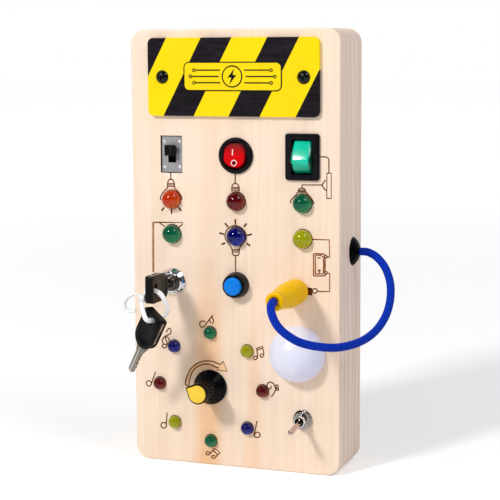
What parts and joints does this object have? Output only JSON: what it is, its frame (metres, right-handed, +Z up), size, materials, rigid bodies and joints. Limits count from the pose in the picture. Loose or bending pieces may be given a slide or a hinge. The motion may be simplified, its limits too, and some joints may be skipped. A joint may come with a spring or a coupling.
{
  "type": "busy board",
  "caption": "Upright wooden busy board with rocker, slide, push and toggle switches, a key lock with a spare key, a dial, a plug on a captive cord, lamps and a striped sign plate.",
  "frame": {"origin": "centre of the wooden body's bottom face", "axes": "+Z up along the body's height, the front panel faces -Y, +X to the right as seen from the front"},
  "size_m": [0.1818, 0.1137, 0.3],
  "materials": {
    "pine": "clear matt lacquer over pale pine",
    "plywood": "plain sanded birch plywood",
    "zinc": "bright zinc plating",
    "nickel": "nickel plating",
    "black_case": "moulded black",
    "black_gloss": "moulded black, glossy",
    "spring_plate": "plated spring steel",
    "cell_sleeve": "printed sleeve, plain",
    "black_door": "moulded black",
    "sign_yellow": "yellow with slanted black bands, satin",
    "black_screw": "black oxide",
    "switch_steel": "bright drawn steel",
    "phenolic": "brown phenolic board",
    "red_rocker": "translucent red",
    "green_rocker": "translucent green",
    "lens_orange": "clear tinted lens",
    "lens_green": "clear tinted lens",
    "lens_red": "clear tinted lens",
    "lens_blue": "clear tinted lens",
    "lens_lime": "clear tinted lens",
    "blue_cap": "bright blue",
    "chrome_lock": "polished",
    "lock_core": "turned steel",
    "key_steel": "stamped and plated",
    "white_strap": "milky nylon",
    "plug_yellow": "soft yellow plastic",
    "brass_pin": "turned",
    "blue_cord": "braided",
    "rubber_black": "moulded",
    "dome_white": "opal white",
    "lamp_base": "moulded white",
    "pointer_yellow": "moulded yellow",
    "board_green": "solder mask",
    "spacer": "nylon"
  },
  "bodies": {
    "board": {"wood_body": "pine", "back_cover": "plywood", "back_screws": "zinc", "battery_box": "black_case", "battery_contacts": "spring_plate", "battery_cells": "cell_sleeve", "sign_plate": "sign_yellow", "sign_screws": "black_screw", "slide_switch_frame": "switch_steel", "slide_switch_base": "phenolic", "round_rocker_housing": "black_gloss", "big_rocker_housing": "black_gloss", "lamp_orange": "lens_orange", "lamp_green_left": "lens_green", "lamp_red": "lens_red", "lamp_blue": "lens_blue", "lamp_green_right": "lens_green", "lamp_lime": "lens_lime", "note_lamp_1": "lens_green", "note_lamp_2": "lens_lime", "note_lamp_3": "lens_red", "note_lamp_4": "lens_blue", "note_lamp_5": "lens_green", "note_lamp_6": "lens_lime", "note_lamp_7": "lens_red", "note_lamp_8": "lens_blue", "push_button_housing": "black_gloss", "push_button_nut": "black_case", "key_lock_barrel": "chrome_lock", "key_lock_nut": "nickel", "jack_socket": "nickel", "plug_cord": "blue_cord", "cord_grommet": "rubber_black", "dome_cover": "dome_white", "dome_base": "lamp_base", "dial_pot": "zinc", "dial_nut": "nickel", "toggle_switch_body": "nickel", "toggle_nut": "nickel", "circuit_board": "board_green", "board_standoffs": "spacer"},
    "slide_handle": {"slide_switch_handle": "black_case"},
    "round_rocker": {"round_rocker_button": "red_rocker"},
    "big_rocker": {"big_rocker_paddle": "green_rocker"},
    "push_cap": {"push_button_cap": "blue_cap"},
    "lock_rotor": {"key_lock_rotor": "lock_core"},
    "key": {"key_blade": "key_steel", "key_head": "black_gloss"},
    "strap": {"key_tie": "white_strap"},
    "spare_key": {"spare_key_blade": "key_steel", "spare_key_head": "black_gloss"},
    "plug": {"plug_shell": "plug_yellow", "plug_pin": "brass_pin"},
    "dial": {"dial_shaft": "zinc", "dial_knob": "black_gloss", "dial_pointer": "pointer_yellow"},
    "toggle": {"toggle_lever": "nickel"},
    "battery_lid": {"battery_door": "black_door", "door_screw": "zinc"}
  },
  "joints": [
    {"name": "slide_switch_move", "type": "slide", "parent": "board", "child": "slide_handle", "axis": [0, 0, -1], "range_m": [0, 0.0058]},
    {"name": "round_rocker_tilt", "type": "hinge", "parent": "board", "child": "round_rocker", "pos_m": [0.0017, -0.0225, 0.2155], "axis": [1, 0, 0], "range_deg": [0, 20]},
    {"name": "big_rocker_tilt", "type": "hinge", "parent": "board", "child": "big_rocker", "pos_m": [0.0489, -0.022, 0.2155], "axis": [1, 0, 0], "range_deg": [0, 20]},
    {"name": "push_button_press", "type": "slide", "parent": "board", "child": "push_cap", "axis": [0, 1, 0], "range_m": [0, 0.0026], "stiffness_N_per_m": 200, "springref_m": -0.001},
    {"name": "key_turn", "type": "hinge", "parent": "board", "child": "lock_rotor", "pos_m": [-0.0455, -0.025, 0.1276], "axis": [0, 1, 0], "range_deg": [0, 60]},
    {"name": "key_pull", "type": "slide", "parent": "lock_rotor", "child": "key", "axis": [0, -1, 0], "range_m": [0, 0.024]},
    {"name": "strap_hang", "type": "hinge", "parent": "key", "child": "strap", "pos_m": [-0.0455, -0.0607, 0.121], "axis": [0, 1, 0], "range_deg": [-60, 0]},
    {"name": "spare_key_swing", "type": "hinge", "parent": "strap", "child": "spare_key", "pos_m": [-0.0426, -0.0646, 0.1076], "axis": [-0.4062, -0.9123, 0.0523], "range_deg": [-20, 20]},
    {"name": "plug_pull", "type": "slide", "parent": "board", "child": "plug", "axis": [0, -1, 0], "range_m": [0, 0.018], "deforming": ["plug_cord"]},
    {"name": "dial_turn", "type": "hinge", "parent": "board", "child": "dial", "pos_m": [-0.018, -0.025, 0.0554], "axis": [0, 1, 0], "range_deg": [-85, 215]},
    {"name": "toggle_flip", "type": "hinge", "parent": "board", "child": "toggle", "pos_m": [0.0489, -0.029, 0.0376], "axis": [-1, 0, 0], "range_deg": [0, 14]},
    {"name": "battery_lid_off", "type": "slide", "parent": "board", "child": "battery_lid", "axis": [0, 1, 0], "range_m": [0, 0.02]}
  ],
  "couplings": [
    {"joint": "strap_hang", "follows": "key_turn", "ratio": -1}
  ]
}
